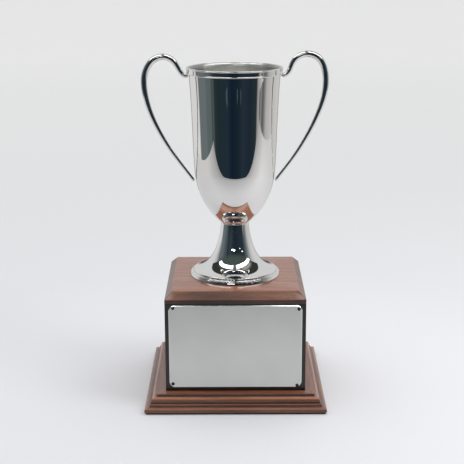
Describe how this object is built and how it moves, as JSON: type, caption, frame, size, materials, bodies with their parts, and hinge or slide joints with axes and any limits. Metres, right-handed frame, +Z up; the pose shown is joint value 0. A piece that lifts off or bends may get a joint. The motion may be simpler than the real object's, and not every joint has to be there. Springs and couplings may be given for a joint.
{
  "type": "cup trophy",
  "caption": "Two-handled loving-cup trophy in bright spun metal, bolted to a square walnut plinth with a stepped base moulding and a blank pinned name plate.",
  "frame": {"origin": "on the table, under the middle of the base", "axes": "+Z up; the name plate faces -Y; the two handles lie along X, +X on the right seen from the front"},
  "size_m": [0.2054, 0.1968, 0.3811],
  "materials": {
    "bright_metal": "mirror polished silver-coloured plate",
    "plate_metal": "fine satin sheet with bright bevelled edges",
    "pin_metal": "tarnished round heads",
    "steel": "zinc plated hardware",
    "bush_brass": "turned",
    "walnut": "satin lacquered walnut, straight grain",
    "pine": "sawn softwood, unfinished",
    "felt": "dark pressed felt"
  },
  "bodies": {
    "base": {"felt_sheet": "felt", "base_board": "walnut", "front_board": "walnut", "right_board": "walnut", "back_board": "walnut", "left_board": "walnut", "top_board": "walnut", "corner_block_1": "pine", "corner_block_2": "pine", "corner_block_3": "pine", "corner_block_4": "pine", "base_screw_1": "steel", "base_screw_2": "steel", "base_screw_3": "steel", "base_screw_4": "steel", "name_plate": "plate_metal", "plate_pin_upper_left": "pin_metal", "plate_pin_upper_right": "pin_metal", "plate_pin_lower_left": "pin_metal", "plate_pin_lower_right": "pin_metal"},
    "cup": {"bowl": "bright_metal", "rim_band": "bright_metal", "left_handle": "bright_metal", "right_handle": "bright_metal", "stem_foot": "bright_metal", "foot_plate": "steel", "bowl_boss": "bush_brass", "draw_rod": "steel"},
    "washer": {"washer": "steel"},
    "nut": {"nut": "steel"}
  },
  "joints": [
    {"name": "cup_turn", "type": "hinge", "parent": "base", "child": "cup", "pos_m": [0, 0, 0.1306], "axis": [0, 0, 1], "continuous": true},
    {"name": "washer_drop", "type": "slide", "parent": "cup", "child": "washer", "axis": [0, 0, -1], "range_m": [0, 0.01016]},
    {"name": "nut_spin", "type": "hinge", "parent": "washer", "child": "nut", "pos_m": [0, 0, 0.113], "axis": [0, 0, -1], "range_deg": [0, 2882]}
  ],
  "couplings": [
    {"joint": "nut_spin", "follows": "washer_drop", "rad_per_m": 4947.4}
  ]
}
